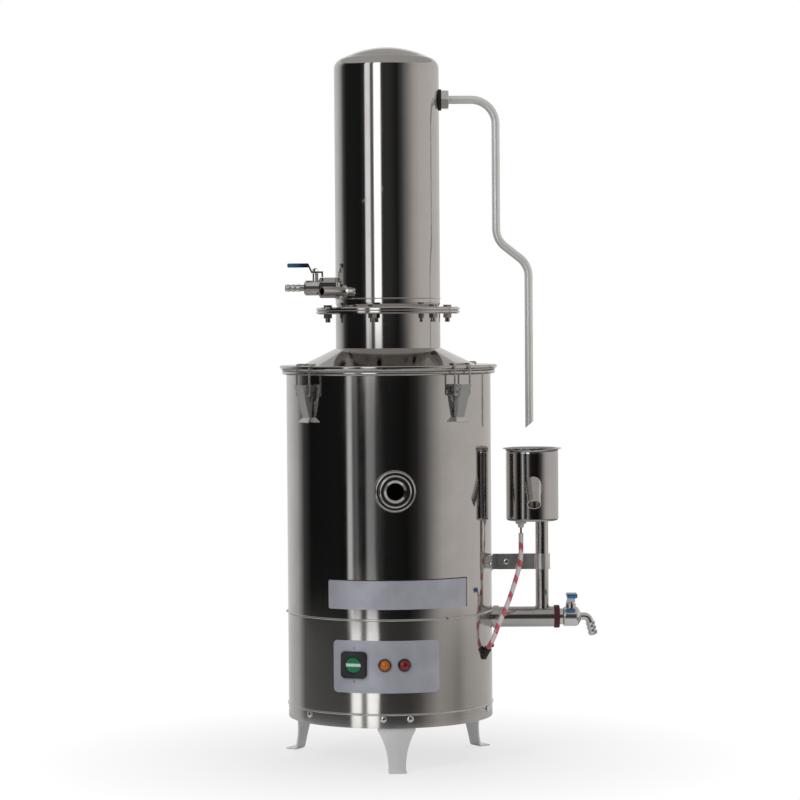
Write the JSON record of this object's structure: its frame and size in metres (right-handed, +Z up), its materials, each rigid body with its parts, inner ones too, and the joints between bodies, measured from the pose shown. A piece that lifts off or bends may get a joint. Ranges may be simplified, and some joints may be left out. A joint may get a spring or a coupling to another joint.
{
  "type": "electric water distiller",
  "caption": "Bench electric water still in polished steel: boiler on a footed base, latched lid, tall condenser column, ball valves, return tube, filling cup and control panel.",
  "frame": {"origin": "on the axis of the boiler and column, in the plane the feet stand on", "axes": "+Z up along the column, -Y towards the front with the control panel, +X towards the filling cup"},
  "size_m": [0.3874, 0.285, 0.867],
  "materials": {
    "polished_steel": "polished stainless steel sheet",
    "satin_steel": "satin stainless steel",
    "valve_metal": "nickel-plated brass",
    "panel_metal": "satin grey sheet",
    "black_plastic": "black moulded plastic",
    "green_plastic": "green moulded plastic",
    "amber_lens": "amber lens",
    "red_lens": "dark red lens",
    "teal_plastic": "soft teal plastic sleeve",
    "blue_plastic": "soft blue plastic sleeve",
    "maroon_rubber": "maroon silicone rubber",
    "black_rubber": "black rubber",
    "pale_rubber": "pale silicone rubber",
    "clear_glass": "clear glass",
    "ceramic": "white ceramic",
    "white_plastic": "white plastic nut on a steel rod",
    "lead_sleeve": "glass fibre sleeve with pink bands"
  },
  "bodies": {
    "still": {"amber_lamp": "amber_lens", "base_floor": "satin_steel", "base_screws": "satin_steel", "base_shell": "polished_steel", "blank_plate": "panel_metal", "boiler_lid": "polished_steel", "boiler_pot": "polished_steel", "condenser_cap": "polished_steel", "condenser_core": "satin_steel", "condenser_shell": "polished_steel", "control_panel": "panel_metal", "distillate_nozzle": "polished_steel", "distillate_tray": "satin_steel", "drain_elbow": "valve_metal", "drain_gasket": "maroon_rubber", "drain_valve_body": "valve_metal", "electrode": "white_plastic", "feed_pipe": "polished_steel", "filling_cup": "polished_steel", "flange_bolts": "satin_steel", "flange_gasket": "pale_rubber", "flange_nuts": "satin_steel", "foot_front": "satin_steel", "foot_left": "satin_steel", "foot_right": "satin_steel", "heating_element": "satin_steel", "inlet_coupling": "satin_steel", "inlet_valve_body": "valve_metal", "latch_brackets": "satin_steel", "lead_grommet": "black_rubber", "lid_gasket": "pale_rubber", "mains_gland": "black_plastic", "red_lamp": "red_lens", "return_nut": "satin_steel", "return_tube": "polished_steel", "return_washer": "black_rubber", "riser_bracket": "satin_steel", "riser_strap": "satin_steel", "riser_tube": "polished_steel", "sensor_lead": "lead_sleeve", "sight_glass": "clear_glass", "sight_glass_frame": "polished_steel", "sight_glass_ring": "polished_steel", "switch_housing": "black_plastic", "terminal_block": "ceramic"},
    "inlet_handle": {"inlet_stem": "valve_metal", "inlet_lever": "polished_steel", "inlet_lever_sleeve": "teal_plastic"},
    "drain_handle": {"drain_stem": "valve_metal", "drain_lever": "polished_steel", "drain_lever_sleeve": "blue_plastic"},
    "rocker": {"switch_rocker": "green_plastic"},
    "latch_lever_body_1": {"latch_lever_1": "satin_steel"},
    "latch_bail_body_1": {"latch_bail_1": "satin_steel"},
    "latch_lever_body_2": {"latch_lever_2": "satin_steel"},
    "latch_bail_body_2": {"latch_bail_2": "satin_steel"},
    "latch_lever_body_3": {"latch_lever_3": "satin_steel"},
    "latch_bail_body_3": {"latch_bail_3": "satin_steel"},
    "latch_lever_body_4": {"latch_lever_4": "satin_steel"},
    "latch_bail_body_4": {"latch_bail_4": "satin_steel"}
  },
  "joints": [
    {"name": "inlet_valve_turn", "type": "hinge", "parent": "still", "child": "inlet_handle", "pos_m": [-0.0885, 0, 0.5746], "axis": [0, 0, 1], "range_deg": [0, 90]},
    {"name": "drain_valve_turn", "type": "hinge", "parent": "still", "child": "drain_handle", "pos_m": [0.222, 0, 0.1695], "axis": [0, 0, 1], "range_deg": [0, 90]},
    {"name": "switch_rock", "type": "hinge", "parent": "still", "child": "rocker", "pos_m": [-0.04315, -0.12051, 0.1263], "axis": [-0.9415, 0.3371, 0], "range_deg": [0, 16]},
    {"name": "latch_1_lever", "type": "hinge", "parent": "still", "child": "latch_lever_body_1", "pos_m": [-0.10279, -0.08936, 0.4525], "axis": [-0.6561, 0.7547, 0], "range_deg": [0, 105]},
    {"name": "latch_1_bail", "type": "hinge", "parent": "latch_lever_body_1", "child": "latch_bail_body_1", "pos_m": [-0.10158, -0.08831, 0.445], "axis": [-0.6561, 0.7547, 0], "range_deg": [-137, 0]},
    {"name": "latch_2_lever", "type": "hinge", "parent": "still", "child": "latch_lever_body_2", "pos_m": [0.08936, -0.10279, 0.4525], "axis": [-0.7547, -0.6561, 0], "range_deg": [0, 105]},
    {"name": "latch_2_bail", "type": "hinge", "parent": "latch_lever_body_2", "child": "latch_bail_body_2", "pos_m": [0.08831, -0.10158, 0.445], "axis": [-0.7547, -0.6561, 0], "range_deg": [-137, 0]},
    {"name": "latch_3_lever", "type": "hinge", "parent": "still", "child": "latch_lever_body_3", "pos_m": [0.10279, 0.08936, 0.4525], "axis": [0.6561, -0.7547, 0], "range_deg": [0, 105]},
    {"name": "latch_3_bail", "type": "hinge", "parent": "latch_lever_body_3", "child": "latch_bail_body_3", "pos_m": [0.10158, 0.08831, 0.445], "axis": [0.6561, -0.7547, 0], "range_deg": [-137, 0]},
    {"name": "latch_4_lever", "type": "hinge", "parent": "still", "child": "latch_lever_body_4", "pos_m": [-0.08936, 0.10279, 0.4525], "axis": [0.7547, 0.6561, 0], "range_deg": [0, 105]},
    {"name": "latch_4_bail", "type": "hinge", "parent": "latch_lever_body_4", "child": "latch_bail_body_4", "pos_m": [-0.08831, 0.10158, 0.445], "axis": [0.7547, 0.6561, 0], "range_deg": [-137, 0]}
  ],
  "couplings": [
    {"joint": "latch_1_bail", "follows": "latch_1_lever", "ratio": -1.3},
    {"joint": "latch_2_bail", "follows": "latch_2_lever", "ratio": -1.3},
    {"joint": "latch_3_bail", "follows": "latch_3_lever", "ratio": -1.3},
    {"joint": "latch_4_bail", "follows": "latch_4_lever", "ratio": -1.3}
  ]
}
